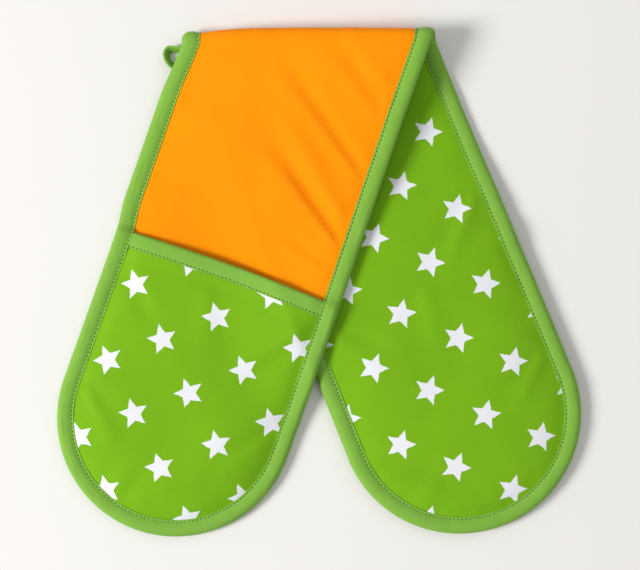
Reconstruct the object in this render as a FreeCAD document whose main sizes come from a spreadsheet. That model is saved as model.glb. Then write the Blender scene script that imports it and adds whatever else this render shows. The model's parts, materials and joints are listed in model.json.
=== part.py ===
import FreeCAD, Part
import math
import os
import Sketcher

# A double oven glove: one padded strip of cloth with a hand pocket at each rounded end, folded
# across its middle so that the upper half lies over the lower one at an angle.
# Millimetres. World frame: +Z up, X along the fold line, the fold at the +Y side.
# Each half is drawn flat in its own frame: X across the strip, Y from the fold to the rounded
# end, Z from the star-print back to the lining and the pocket.

SIZES = (
    ("half_width", 90.0, "half the strip's width, and the radius of its rounded ends"),
    ("half_length", 392.0, "fold line to rounded tip, along the middle of the strip"),
    ("fold_angle", 20.6, "turn of each half away from square to the fold, degrees"),
    ("fold_gap", 0.4, "gap between a half and the fold line's plane, doubled"),
    ("cloth", 0.6, "thickness of the printed cloth and of the lining"),
    ("wadding", 4.4, "thickness of the wadding in the strip"),
    ("pocket_wadding", 2.8, "thickness of the wadding in a pocket's front"),
    ("pocket_depth", 214.0, "rounded tip to pocket mouth"),
    ("pocket_room", 4.6, "height of the space for the hand in a closed pocket"),
    ("pocket_rest", 2.0, "how far the upper pocket lies open, degrees"),
    ("edge_tape", 0.8, "thickness of the folded binding round the edge"),
    ("edge_leg", 13.0, "how far the edge binding reaches over each face"),
    ("mouth_leg", 12.5, "how far a pocket's binding reaches over each face"),
    ("thread", 0.5, "width and height of a line of stitches"),
    ("thread_gap", 0.05, "gap between a line of stitches and the cloth beside it"),
    ("play", 0.4, "gap round a pocket's front, where it swings"),
    ("lift", 0.3, "gap under a pocket's front and between the two halves"),
    ("ramp_gap", 13.0, "pocket mouth to where the lower half has risen over its pocket"),
    ("ramp_length", 60.0, "length over which the lower half rises"),
    ("margin", 20.0, "how far a cutting outline stands past the cloth"),
    ("loop_width", 6.4, "width of the hanging loop's tape"),
    ("loop_tape", 1.6, "thickness of the hanging loop's tape"),
    ("loop_radius", 8.5, "outer radius of the hanging loop's round end"),
    ("loop_root", 2.0, "outer radius of the loop where it is sewn on"),
    ("loop_reach", 10.5, "sewn end to the centre of the loop's round end"),
    ("loop_place", 5.5, "lower left fold corner to the loop, along the edge"),
    ("tack_length", 4.0, "length of the loop's bar tack"),
    ("tack_width", 1.2, "width of the loop's bar tack"),
)
size = {name: number for name, number, note in SIZES}

# Heights in a half's own frame, as sums of sheet names.
PAD = "cloth + wadding + cloth"
FLAP_BASE = PAD + " + lift"
FLAP_ROOM = PAD + " + pocket_room"
FLAP_LINING_TOP = FLAP_ROOM + " + cloth"
FLAP_WADDING_TOP = FLAP_LINING_TOP + " + pocket_wadding"
FLAP_TOP = FLAP_WADDING_TOP + " + cloth"
RISE = "- pocket_room - cloth - pocket_wadding - cloth + edge_tape"
TOE_CENTRE = "half_length - half_width"
MOUTH = "half_length - pocket_depth"
RAMP_END = MOUTH + " - ramp_gap"
RAMP_START = RAMP_END + " - ramp_length"
FLAP_SIDE = "half_width - edge_leg - thread_gap - thread - thread_gap - play"

doc = FreeCAD.newDocument("DoubleOvenGlove")
sheet = doc.addObject("Spreadsheet::Sheet", "Sizes")
for row, (name, number, note) in enumerate(SIZES, start=1):
    sheet.set("A%d" % row, note)
    sheet.set("B%d" % row, str(number))
    sheet.setAlias("B%d" % row, name)
doc.recompute()


def total(formula):
    """Number that a sum of sheet names comes to."""
    result = 0.0
    sign = 1.0
    for word in formula.split():
        if word in ("+", "-"):
            sign = 1.0 if word == "+" else -1.0
        else:
            result += sign * size[word]
    return result


def bound(formula):
    """The same sum as an expression on the sheet."""
    words = [word if word in ("+", "-") else "Sizes." + word for word in formula.split()]
    return " ".join(words)


def plane_of(body, role):
    return [item for item in body.Origin.OriginFeatures if item.Role == role][0]


def new_body(label):
    body = doc.addObject("PartDesign::Body", label)
    body.Label = label
    return body


def new_sketch(body, role, height=""):
    sketch = body.newObject("Sketcher::SketchObject", body.Name + "_sketch")
    sketch.AttachmentSupport = (plane_of(body, role), [""])
    sketch.MapMode = "FlatFace"
    if height:
        sketch.setExpression("AttachmentOffset.Base.z", bound(height))
    return sketch


def tie(sketch, kind, line, end, formula):
    """Hold one coordinate of a line's end at a sum of sheet names, or on the axis."""
    if formula:
        rule = sketch.addConstraint(Sketcher.Constraint(kind, line, end, total(formula)))
        sketch.setExpression("Constraints[%d]" % rule, bound(formula))
    else:
        axis = -2 if kind == "DistanceX" else -1
        sketch.addConstraint(Sketcher.Constraint("PointOnObject", line, end, axis))


def draw(sketch, corners, round_end=False):
    """Closed outline through the corners; a round end joins the last corner to the first."""
    points = [FreeCAD.Vector(total(x), total(y), 0) for x, y in corners]
    count = len(points)
    straight = count - 1 if round_end else count
    lines = []
    for number in range(straight):
        segment = Part.LineSegment(points[number], points[(number + 1) % count])
        lines.append(sketch.addGeometry(segment))
    for line, (x, y) in zip(lines, corners):
        tie(sketch, "DistanceX", line, 1, x)
        tie(sketch, "DistanceY", line, 1, y)
    for first, second in zip(lines, lines[1:]):
        sketch.addConstraint(Sketcher.Constraint("Coincident", first, 2, second, 1))
    if not round_end:
        sketch.addConstraint(Sketcher.Constraint("Coincident", lines[-1], 2, lines[0], 1))
        return
    # Corners run from the left side round the fold end to the right side: the arc closes them.
    tie(sketch, "DistanceX", lines[-1], 2, corners[-1][0])
    tie(sketch, "DistanceY", lines[-1], 2, corners[-1][1])
    radius = points[-1].x
    centre = FreeCAD.Vector(0, points[-1].y, 0)
    circle = Part.Circle(centre, FreeCAD.Vector(0, 0, 1), radius)
    arc = sketch.addGeometry(Part.ArcOfCircle(circle, 0, math.pi))
    sketch.addConstraint(Sketcher.Constraint("Coincident", arc, 1, lines[-1], 2))
    sketch.addConstraint(Sketcher.Constraint("Coincident", arc, 2, lines[0], 1))
    tie(sketch, "DistanceY", arc, 3, corners[-1][1])


def flip(formula):
    """The same sum with every sign turned round."""
    words = formula.split()
    if words[0] not in ("+", "-"):
        words.insert(0, "+")
    turned = {"+": "-", "-": "+"}
    return " ".join(turned.get(word, word) for word in words)


def draw_window(sketch, side):
    """Round-ended outline that runs out past the fold end, for cutting the middle out."""
    far = "- half_width - margin"
    corners = [(flip(side), TOE_CENTRE), (flip(side), far), (side, far), (side, TOE_CENTRE)]
    draw(sketch, corners, round_end=True)


def draw_frame(sketch):
    wide = "half_width + margin + margin"
    low = "- half_width - margin - margin"
    high = "half_length + margin + margin"
    draw(sketch, [(flip(wide), low), (wide, low), (wide, high), (flip(wide), high)])


def pad_profile(body, low, high, rise, side="half_width + margin"):
    """Slab between two heights over the whole strip, raised past the ramp by the rise."""
    sketch = new_sketch(body, "YZ_Plane")
    back = "- half_width - margin"
    far = "half_length + margin"
    joined = " " + rise if rise else ""
    corners = [(back, low), (RAMP_START, low), (RAMP_END, low + joined), (far, low + joined)]
    corners += [(far, high + joined), (RAMP_END, high + joined), (RAMP_START, high)]
    corners += [(back, high)]
    draw(sketch, corners)
    slab = body.newObject("PartDesign::Pad", body.Name + "_slab")
    slab.Profile = sketch
    slab.SideType = "Symmetric"
    slab.setExpression("Length", "2 * (" + bound(side) + ")")
    return slab


def cut_through(body, sketch):
    cut = body.newObject("PartDesign::Pocket", body.Name + "_cut")
    cut.Profile = sketch
    cut.SideType = "Symmetric"
    cut.Type = "ThroughAll"
    doc.recompute()
    return cut


def cut_outside(body, side):
    """Cut away all that lies outside the strip's outline, set in to the given half width."""
    sketch = new_sketch(body, "XY_Plane")
    draw_frame(sketch)
    draw_window(sketch, side)
    cut_through(body, sketch)


def cut_window(body, side):
    sketch = new_sketch(body, "XY_Plane")
    draw_window(sketch, side)
    cut_through(body, sketch)


def cut_fold_end(body):
    """Trim the half along the fold line, which crosses the strip at the fold angle."""
    sketch = new_sketch(body, "XY_Plane")
    wide = size["half_width"] + size["margin"] * 2
    slope = math.tan(math.radians(size["fold_angle"]))
    clear = size["fold_gap"] / 2
    deep = -wide * 2
    left = FreeCAD.Vector(-wide, clear - wide * slope, 0)
    right = FreeCAD.Vector(wide, clear + wide * slope, 0)
    low_right = FreeCAD.Vector(wide, deep, 0)
    low_left = FreeCAD.Vector(-wide, deep, 0)
    ends = ((left, right), (right, low_right), (low_right, low_left), (low_left, left))
    lines = [sketch.addGeometry(Part.LineSegment(start, end)) for start, end in ends]
    for first, second in zip(lines, lines[1:] + lines[:1]):
        sketch.addConstraint(Sketcher.Constraint("Coincident", first, 2, second, 1))
    for line in (lines[1], lines[3]):
        sketch.addConstraint(Sketcher.Constraint("Vertical", line))
    sketch.addConstraint(Sketcher.Constraint("Horizontal", lines[2]))
    tie(sketch, "DistanceX", lines[0], 1, "- half_width - margin - margin")
    tie(sketch, "DistanceX", lines[0], 2, "half_width + margin + margin")
    reach = "2 * (Sizes.half_width + 2 * Sizes.margin)"
    rule = sketch.addConstraint(Sketcher.Constraint("DistanceY", lines[2], 1, deep))
    sketch.setExpression("Constraints[%d]" % rule, "-" + reach)
    slant = "tan(Sizes.fold_angle * 1 deg) * (Sizes.half_width + 2 * Sizes.margin)"
    rule = sketch.addConstraint(Sketcher.Constraint("DistanceY", lines[0], 1, left.y))
    sketch.setExpression("Constraints[%d]" % rule, "Sizes.fold_gap / 2 - " + slant)
    rule = sketch.addConstraint(Sketcher.Constraint("DistanceY", lines[0], 2, right.y))
    sketch.setExpression("Constraints[%d]" % rule, "Sizes.fold_gap / 2 + " + slant)
    cut_through(body, sketch)


def build_layer(label, low, high, rise):
    """One cloth or wadding layer of a half, inside the wall of the edge binding."""
    body = new_body(label)
    pad_profile(body, low, high, rise)
    cut_outside(body, "half_width - edge_tape")
    cut_fold_end(body)
    return body


def build_edge_binding(label, rise):
    """Channel round the half's edge: a wall with a leg over the back and one over the lining."""
    body = new_body(label)
    front = PAD + " + edge_tape"
    pad_profile(body, "- edge_tape", front, rise)
    cut_window(body, "half_width - edge_tape")
    pad_profile(body, "- edge_tape", "", rise)
    pad_profile(body, PAD, front, rise)
    cut_window(body, "half_width - edge_leg")
    cut_outside(body, "half_width")
    cut_fold_end(body)
    return body


def build_edge_stitching(label, rise):
    """Line of stitches beside each leg of the edge binding, on the back and on the lining."""
    body = new_body(label)
    beside = "half_width - edge_leg - thread_gap"
    pad_profile(body, "- thread", "", rise)
    pad_profile(body, PAD, PAD + " + thread", rise)
    cut_window(body, beside + " - thread")
    cut_outside(body, beside)
    cut_fold_end(body)
    return body


def pad_flap(body, side, start, low, thickness):
    """Round-ended slab of the pocket's front, from its mouth end to the strip's round end."""
    sketch = new_sketch(body, "XY_Plane", low)
    corners = [(flip(side), TOE_CENTRE), (flip(side), start), (side, start), (side, TOE_CENTRE)]
    draw(sketch, corners, round_end=True)
    slab = body.newObject("PartDesign::Pad", body.Name + "_slab")
    slab.Profile = sketch
    slab.setExpression("Length", bound(thickness))
    return slab


def build_pocket_front(label):
    """Printed cloth: flat over the front and turned down to the lining round its sewn edge."""
    body = new_body(label)
    start = MOUTH + " + mouth_leg + thread_gap + thread + thread_gap"
    pad_flap(body, FLAP_SIDE, start, FLAP_BASE, "pocket_room - lift + cloth + pocket_wadding + cloth")
    sketch = new_sketch(body, "XY_Plane", FLAP_WADDING_TOP)
    side = FLAP_SIDE + " - cloth"
    far = "- half_width - margin"
    corners = [(flip(side), TOE_CENTRE), (flip(side), far), (side, far), (side, TOE_CENTRE)]
    draw(sketch, corners, round_end=True)
    hollow = body.newObject("PartDesign::Pocket", body.Name + "_hollow")
    hollow.Profile = sketch
    hollow.setExpression("Length", bound("pocket_room + cloth + pocket_wadding"))
    return body


def build_pocket_wadding(label):
    body = new_body(label)
    side = FLAP_SIDE + " - cloth"
    pad_flap(body, side, MOUTH + " + cloth", FLAP_LINING_TOP, "pocket_wadding")
    return body


def build_pocket_lining(label):
    body = new_body(label)
    start = MOUTH + " + mouth_leg + thread_gap + thread + thread_gap"
    pad_flap(body, FLAP_SIDE + " - cloth", start, FLAP_ROOM, "cloth")
    return body


def bar(body, side, low, high, start, end):
    """Straight bar across the pocket's mouth with a rectangular section."""
    sketch = new_sketch(body, "YZ_Plane")
    draw(sketch, [(start, low), (end, low), (end, high), (start, high)])
    block = body.newObject("PartDesign::Pad", body.Name + "_bar")
    block.Profile = sketch
    block.SideType = "Symmetric"
    block.setExpression("Length", "2 * (" + bound(side) + ")")
    return block


def build_mouth_binding(label):
    """Binding folded over the mouth's edge, flush with the cloth on both faces."""
    body = new_body(label)
    leg_end = MOUTH + " + mouth_leg"
    side = FLAP_SIDE + " - cloth"
    bar(body, side, FLAP_ROOM, FLAP_TOP, MOUTH, MOUTH + " + cloth")
    bar(body, side, FLAP_ROOM, FLAP_LINING_TOP, MOUTH, leg_end)
    bar(body, side, FLAP_WADDING_TOP, FLAP_TOP, MOUTH, leg_end)
    return body


def build_mouth_stitching(label):
    body = new_body(label)
    side = FLAP_SIDE + " - cloth"
    start = MOUTH + " + mouth_leg + thread_gap"
    end = start + " + thread"
    bar(body, side, FLAP_ROOM, FLAP_LINING_TOP, start, end)
    bar(body, side, FLAP_WADDING_TOP, FLAP_TOP, start, end)
    return body


def build_half(prefix, rise):
    """The strip's pieces and the pocket's pieces of one half, in the half's own frame."""
    strip = [
        build_layer(prefix + "_star_panel", "", "cloth", rise),
        build_layer(prefix + "_wadding", "cloth", "cloth + wadding", rise),
        build_layer(prefix + "_lining", "cloth + wadding", PAD, rise),
        build_edge_binding(prefix + "_edge_binding", rise),
        build_edge_stitching(prefix + "_edge_stitching", rise),
    ]
    pocket = [
        build_pocket_front(prefix + "_pocket_front"),
        build_pocket_wadding(prefix + "_pocket_wadding"),
        build_pocket_lining(prefix + "_pocket_lining"),
        build_mouth_binding(prefix + "_pocket_mouth_binding"),
        build_mouth_stitching(prefix + "_pocket_mouth_stitching"),
    ]
    return strip, pocket


# Where the two halves lie. The lower one has its lining and pocket down, flat on the table, and
# its strip rises over the pocket. The upper one, pocket up, leans on the lower half's left edge
# where that has risen, and touches the table at the left of its round end.
angle = math.radians(size["fold_angle"])
pad_height = total(PAD)
crest_height = pad_height + size["edge_tape"] * 2 + total(flip(RISE)) + size["lift"]
crest_x = total(RAMP_END) * math.sin(angle) - size["half_width"] * math.cos(angle)
toe_reach = total(TOE_CENTRE) * math.sin(angle) + size["half_width"]
lean = math.atan(crest_height / (toe_reach + crest_x))
star_height = size["edge_tape"] + pad_height
hinge_x = -toe_reach + total(PAD) / math.tan(lean)
nose_tilt = lean / 2

down_rotation = FreeCAD.Rotation(FreeCAD.Vector(1, 0, 0), 180)
lower_turn = FreeCAD.Rotation(FreeCAD.Vector(0, 0, 1), size["fold_angle"])
lower_place = FreeCAD.Placement(
    FreeCAD.Vector(0, 0, star_height), lower_turn.multiply(down_rotation))
upper_turn = FreeCAD.Rotation(FreeCAD.Vector(0, 0, 1), 180 - size["fold_angle"])
upper_flat = FreeCAD.Placement(FreeCAD.Vector(0, 0, size["edge_tape"]), upper_turn)
lean_turn = FreeCAD.Placement(
    FreeCAD.Vector(),
    FreeCAD.Rotation(FreeCAD.Vector(0, 1, 0), -math.degrees(lean)),
    FreeCAD.Vector(-toe_reach, 0, 0))
upper_place = lean_turn.multiply(upper_flat)

lower_strip, lower_pocket = build_half("lower", RISE)
upper_strip, upper_pocket = build_half("upper", "")

# The pockets' fronts. In the lower half's frame the strip rises, so its pocket moves by the rise.
rise_shift = FreeCAD.Placement(FreeCAD.Vector(0, 0, total(RISE)), FreeCAD.Rotation())
flap_tip = FreeCAD.Vector(0, total(TOE_CENTRE) + total(FLAP_SIDE), total(FLAP_BASE))
rest_turn = FreeCAD.Placement(
    FreeCAD.Vector(),
    FreeCAD.Rotation(FreeCAD.Vector(1, 0, 0), -size["pocket_rest"]),
    flap_tip)

world = []
for body in lower_strip:
    world.append((body, lower_place))
for body in lower_pocket:
    world.append((body, lower_place.multiply(rise_shift)))
for body in upper_strip:
    world.append((body, upper_place))
for body in upper_pocket:
    world.append((body, upper_place.multiply(rest_turn)))


def add_nose(label, outlines):
    """Turn outlines in the fold's upright plane half round the hinge line, as a rolled nose."""
    body = new_body(label)
    sketch = new_sketch(body, "XZ_Plane")
    for outline in outlines:
        points = [FreeCAD.Vector(x, z, 0) for x, z, x_rule, z_rule in outline]
        count = len(points)
        lines = []
        for number in range(count):
            segment = Part.LineSegment(points[number], points[(number + 1) % count])
            lines.append(sketch.addGeometry(segment))
        for first, second in zip(lines, lines[1:] + lines[:1]):
            sketch.addConstraint(Sketcher.Constraint("Coincident", first, 2, second, 1))
        for line, (x, z, x_rule, z_rule) in zip(lines, outline):
            for kind, number, rule in (("DistanceX", x, x_rule), ("DistanceY", z, z_rule)):
                place = sketch.addConstraint(Sketcher.Constraint(kind, line, 1, number))
                sketch.setExpression("Constraints[%d]" % place, rule)
    start = FreeCAD.Vector(hinge_x, star_height, 0)
    end = start + FreeCAD.Vector(math.cos(nose_tilt), math.sin(nose_tilt), 0) * size["half_width"]
    axis = sketch.addGeometry(Part.LineSegment(start, end), True)
    for kind, point, number in (("DistanceX", 1, start.x), ("DistanceY", 1, start.y),
                                ("DistanceX", 2, end.x), ("DistanceY", 2, end.y)):
        sketch.addConstraint(Sketcher.Constraint(kind, axis, point, number))
    nose = body.newObject("PartDesign::Revolution", label + "_nose")
    nose.Profile = sketch
    nose.ReferenceAxis = (sketch, ["Axis0"])
    nose.Angle = 180
    doc.recompute()
    if nose.Shape.BoundBox.YMax < 1:
        nose.Reversed = True
        doc.recompute()
    world.append((body, FreeCAD.Placement()))
    return body


def nose_sheet(label, low, high):
    """One layer of the strip as it rolls round the fold, between the walls of the binding."""
    side = (size["half_width"] - size["edge_tape"]) / math.cos(angle)
    side_rule = "(Sizes.half_width - Sizes.edge_tape) / cos(Sizes.fold_angle * 1 deg)"
    corners = []
    for sign, height in ((-1, low), (1, low), (1, high), (-1, high)):
        mark = "-" if sign < 0 else ""
        corners.append((sign * side, total(height), mark + side_rule, bound(height)))
    add_nose(label, [corners])


def nose_binding(label):
    """The edge binding's channel at both ends of the roll."""
    outlines = []
    half = "Sizes.half_width"
    base = "0 * Sizes.cloth"
    outer = total(PAD + " + edge_tape + edge_tape")
    tape = size["edge_tape"]
    outer_rule = bound(PAD + " + edge_tape + edge_tape")
    upper_rule = bound(PAD + " + edge_tape")
    upper = total(PAD + " + edge_tape")
    for sign in (-1, 1):
        mark = "-" if sign < 0 else ""
        spans = []
        for inset, rule in ((0, half), (tape, half + " - Sizes.edge_tape"),
                            (size["edge_leg"], half + " - Sizes.edge_leg")):
            number = sign * (size["half_width"] - inset) / math.cos(angle)
            spans.append((number, mark + "(" + rule + ") / cos(Sizes.fold_angle * 1 deg)"))
        wall, inside, leg = spans
        corners = []
        for (x, x_rule), z, z_rule in (
                (wall, 0, base), (leg, 0, base), (leg, tape, bound("edge_tape")),
                (inside, tape, bound("edge_tape")), (inside, upper, upper_rule),
                (leg, upper, upper_rule), (leg, outer, outer_rule), (wall, outer, outer_rule)):
            corners.append((x, z, x_rule, z_rule))
        outlines.append(corners)
    add_nose(label, outlines)


nose_sheet("fold_lining", "edge_tape", "edge_tape + cloth")
nose_sheet("fold_wadding", "edge_tape + cloth", "edge_tape + cloth + wadding")
nose_sheet("fold_star_panel", "edge_tape + cloth + wadding", "edge_tape + " + PAD)
nose_binding("fold_edge_binding")

# The hanging loop: a band of tape standing on edge, sewn to the lower half's left edge.
edge_way = FreeCAD.Vector(math.sin(angle), -math.cos(angle), 0)
out_way = FreeCAD.Vector(-math.cos(angle), -math.sin(angle), 0)
fold_corner = FreeCAD.Vector(-size["half_width"] / math.cos(angle), 0, 0)
loop_base = fold_corner + edge_way * size["loop_place"]
loop_root = loop_base + out_way * (size["loop_root"] + size["lift"])
loop_place = FreeCAD.Placement(
    loop_root + FreeCAD.Vector(0, 0, size["lift"]),
    FreeCAD.Rotation(FreeCAD.Vector(1, 0, 0), out_way))


def teardrop(sketch, small, large, small_rule, large_rule):
    """Two arcs, small at the origin and large one reach away, and their tangent lines."""
    reach = size["loop_reach"]
    slant = math.acos((large - small) / reach)
    up = FreeCAD.Vector(-math.cos(slant), math.sin(slant), 0)
    low = FreeCAD.Vector(-math.cos(slant), -math.sin(slant), 0)
    centre = FreeCAD.Vector(reach, 0, 0)
    normal = FreeCAD.Vector(0, 0, 1)
    small_circle = Part.Circle(FreeCAD.Vector(), normal, small)
    large_circle = Part.Circle(centre, normal, large)
    root = sketch.addGeometry(Part.ArcOfCircle(small_circle, math.pi - slant, math.pi + slant))
    crown = sketch.addGeometry(Part.ArcOfCircle(large_circle, slant - math.pi, math.pi - slant))
    top = sketch.addGeometry(Part.LineSegment(up * small, centre + up * large))
    foot = sketch.addGeometry(Part.LineSegment(low * small, centre + low * large))
    sketch.addConstraint(Sketcher.Constraint("Tangent", root, 1, top, 1))
    sketch.addConstraint(Sketcher.Constraint("Tangent", top, 2, crown, 2))
    sketch.addConstraint(Sketcher.Constraint("Tangent", root, 2, foot, 1))
    sketch.addConstraint(Sketcher.Constraint("Tangent", foot, 2, crown, 1))
    sketch.addConstraint(Sketcher.Constraint("Coincident", root, 3, -1, 1))
    sketch.addConstraint(Sketcher.Constraint("PointOnObject", crown, 3, -1))
    rule = sketch.addConstraint(Sketcher.Constraint("DistanceX", crown, 3, reach))
    sketch.setExpression("Constraints[%d]" % rule, "Sizes.loop_reach")
    rule = sketch.addConstraint(Sketcher.Constraint("Radius", root, small))
    sketch.setExpression("Constraints[%d]" % rule, small_rule)
    rule = sketch.addConstraint(Sketcher.Constraint("Radius", crown, large))
    sketch.setExpression("Constraints[%d]" % rule, large_rule)


def build_loop(label):
    body = new_body(label)
    outside = new_sketch(body, "XY_Plane")
    teardrop(outside, size["loop_root"], size["loop_radius"], "Sizes.loop_root", "Sizes.loop_radius")
    band = body.newObject("PartDesign::Pad", label + "_band")
    band.Profile = outside
    band.setExpression("Length", "Sizes.loop_width")
    inside = new_sketch(body, "XY_Plane")
    tape = size["loop_tape"]
    teardrop(inside, size["loop_root"] - tape, size["loop_radius"] - tape,
             "Sizes.loop_root - Sizes.loop_tape", "Sizes.loop_radius - Sizes.loop_tape")
    cut_through(body, inside)
    world.append((body, loop_place))


def build_tack(label):
    """Dense bar of thread over the binding's back leg that holds the loop's sewn end."""
    body = doc.addObject("Part::Box", label)
    body.Label = label
    body.setExpression("Length", "Sizes.tack_length")
    body.setExpression("Width", "Sizes.tack_width")
    body.setExpression("Height", "Sizes.thread")
    along = FreeCAD.Vector(-out_way.x, -out_way.y, 0)
    base = loop_base + along * size["tack_width"] - edge_way * (size["tack_width"] / 2)
    base.z = star_height + size["edge_tape"]
    turn = FreeCAD.Rotation(FreeCAD.Vector(1, 0, 0), along)
    world.append((body, FreeCAD.Placement(base, turn)))


build_loop("hanging_loop")
build_tack("loop_bar_tack")

for body, place in world:
    body.Placement = place
doc.recompute()

# The origin is the centre of the glove's box, on the table.
box = FreeCAD.BoundBox()
for body, place in world:
    box.add(body.Shape.optimalBoundingBox(False))
shift = FreeCAD.Placement(FreeCAD.Vector(-box.Center.x, -box.Center.y, -box.ZMin), FreeCAD.Rotation())
for body, place in world:
    body.Placement = shift.multiply(place)
doc.recompute()

for item in doc.Objects:
    if "Invalid" in item.State or "Error" in item.State:
        raise RuntimeError("failed: " + item.Label)
os.makedirs("parts", exist_ok=True)
for body, place in world:
    if body.Shape.isNull() or not body.Shape.isValid():
        raise RuntimeError("bad shape: " + body.Label)
    body.Shape.exportStep("parts/" + body.Label + ".step")
    print("%-28s %9.1f mm3  %d solids" % (body.Label, body.Shape.Volume, len(body.Shape.Solids)))


def report_point(label, point):
    moved = shift.multVec(point)
    print("%-28s %.3f %.3f %.3f" % (label, moved.x, moved.y, moved.z))


def report_way(label, way):
    print("%-28s %.5f %.5f %.5f" % (label, way.x, way.y, way.z))


# Joint lines and mount points, for the record.
flap_line = FreeCAD.Vector(1, 0, 0)
report_point("fold axis", FreeCAD.Vector(hinge_x, 0, star_height))
report_way("fold way", FreeCAD.Vector(-math.cos(nose_tilt), 0, -math.sin(nose_tilt)))
for label, place, turn in (("lower pocket", lower_place.multiply(rise_shift), -1),
                           ("upper pocket", upper_place, -1)):
    report_point(label + " axis", place.multVec(flap_tip))
    report_way(label + " way", place.Rotation.multVec(flap_line * turn))
report_point("loop axis", loop_root)
report_point("loop centre", loop_root + out_way * size["loop_reach"])
rest_point = FreeCAD.Vector(0, total(TOE_CENTRE), total(FLAP_TOP))
report_point("rest face", lower_place.multiply(rise_shift).multVec(rest_point))
print("lean %.3f degrees" % math.degrees(lean))
print("box", box.XLength, box.YLength, box.ZLength)
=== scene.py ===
import json
import math
import bpy
import numpy as np
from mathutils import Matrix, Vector


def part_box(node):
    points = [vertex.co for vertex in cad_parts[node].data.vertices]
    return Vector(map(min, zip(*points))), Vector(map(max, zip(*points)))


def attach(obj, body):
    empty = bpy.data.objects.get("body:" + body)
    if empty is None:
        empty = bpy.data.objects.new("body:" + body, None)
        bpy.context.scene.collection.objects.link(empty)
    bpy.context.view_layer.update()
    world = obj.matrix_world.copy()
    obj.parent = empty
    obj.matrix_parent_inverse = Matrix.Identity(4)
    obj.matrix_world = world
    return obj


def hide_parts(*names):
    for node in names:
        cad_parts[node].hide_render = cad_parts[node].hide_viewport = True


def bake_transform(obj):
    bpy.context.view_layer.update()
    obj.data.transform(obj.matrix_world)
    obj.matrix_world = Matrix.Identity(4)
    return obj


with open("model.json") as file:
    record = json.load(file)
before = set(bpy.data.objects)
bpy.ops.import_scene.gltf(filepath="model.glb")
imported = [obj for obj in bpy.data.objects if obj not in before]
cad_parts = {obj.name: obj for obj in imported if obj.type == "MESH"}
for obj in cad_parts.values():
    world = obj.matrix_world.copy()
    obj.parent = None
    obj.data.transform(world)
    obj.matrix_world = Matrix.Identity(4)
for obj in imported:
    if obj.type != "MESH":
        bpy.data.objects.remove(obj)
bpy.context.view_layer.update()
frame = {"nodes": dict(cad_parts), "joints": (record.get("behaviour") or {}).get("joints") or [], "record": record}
print("frame loaded:", len(frame["nodes"]), "nodes")

mm = 0.001
lower, upper, nose = 0, 1, 2  # the three stretches of the padded strip

# The strip. On each half, b runs from the fold to the rounded end and a runs across.
strip = {
    "halfWidth": 90 * mm,
    "halfLength": 392 * mm,
    "foldAngle": math.radians(20.6),
    "seamWidth": 12.5 * mm,  # reach of the edge binding over each face
    "padMiddle": 6.4 * mm,  # padded thickness in the open
    "padSeam": 3.4 * mm,  # and squeezed under the binding
    "seamPuff": 9 * mm,  # how soon the padding fills out beyond the seam
    "cloth": 0.6 * mm,
    "lyingEdge": 1.2 * mm,  # height of the lining at the seam where it lies on the table
    "lyingMiddle": 0.3 * mm,
    "rampStart": 100 * mm,  # the lower half climbs onto its own pocket here
    "rampEnd": 172 * mm,
    "raisedSeam": 8.7 * mm,
    "raisedPuff": 5.5 * mm,
    "nestle": 0.5 * mm,  # star face of the upper half above what it lies on
    "nestleSeam": 1.3 * mm,
    "pucker": 0.62 * mm,
    "drag": 1.5 * mm,
    "foldDepth": 2.5,
}
pocket = {
    "depth": 214 * mm,
    "mouthBow": 1.8 * mm,  # the mouth's ends lie this much nearer the toe
    "frontMiddle": 4.0 * mm,
    "frontSeam": 2.2 * mm,
    "roomPuff": 16 * mm,
    "upperRoom": 2.8 * mm,
    "mouthGape": 2.6 * mm,
    "gapeReach": 60 * mm,
    "lyingFace": 0.25 * mm,
    "lyingSeam": 3.0 * mm,
    "tape": 0.8 * mm,
    "mouthLeg": 12.5 * mm,
}
radius = strip["halfWidth"]
foldSin, foldCos = math.sin(strip["foldAngle"]), math.cos(strip["foldAngle"])
foldTan = foldSin / foldCos
toeCentre = strip["halfLength"] - radius
mouthLine = strip["halfLength"] - pocket["depth"]

foldJoint = next(j for j in frame["joints"] if j["name"] == "fold")
foldY = foldJoint["pos_m"][1]
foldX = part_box("lower_edge_binding")[0].x + radius / foldCos
leanSlope = math.tan(2 * math.asin(abs(foldJoint["axis"][2])))
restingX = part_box("upper_edge_binding")[0].x


# how the cloth lies, a little off true
lay = {
    "lowerSwing": 3.2 * mm,
    "lowerReach": 2.2 * mm,
    "lowerSpread": 0.018,
    "upperSpread": 2.8 * mm,
    "upperPinch": 4.2 * mm,  # its outer edge is drawn in by the fold
    "pinchReach": 330 * mm,
    "noseLeft": 1.22,  # how round the fold is at each end
    "noseRight": 0.54,
    "tentHold": 0.85,  # how much of the fold's height the upper half keeps as it comes down
    "tentReach": 235 * mm,
}


def smooth(t):
    t = np.clip(t, 0, 1)
    return t * t * (3 - 2 * t)


def hills(seed, x, y):
    # smooth random hills, one unit apart, between -1 and 1
    table = np.random.RandomState(seed).uniform(-1, 1, (61, 61))
    ix, iy = np.floor(x).astype(int), np.floor(y).astype(int)
    fx, fy = smooth(x - ix), smooth(y - iy)
    pick = lambda i, j: table[(ix + i) % 61, (iy + j) % 61]
    near = pick(0, 0) * (1 - fx) + pick(1, 0) * fx
    far = pick(0, 1) * (1 - fx) + pick(1, 1) * fx
    return near * (1 - fy) + far * fy


def seamDistance(a, b):
    return radius - np.where(b < toeCentre, np.abs(a), np.hypot(a, np.maximum(b - toeCentre, 0)))


def roundTheEdge(a, b):
    # distance along the outline from the tip of the toe, negative on one side
    turn = np.arctan2(np.maximum(b - toeCentre, 0), np.maximum(np.abs(a), 1e-6))
    way = np.where(b < toeCentre, toeCentre - b + radius * math.pi / 2, radius * (math.pi / 2 - turn))
    return np.sign(a) * way


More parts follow.
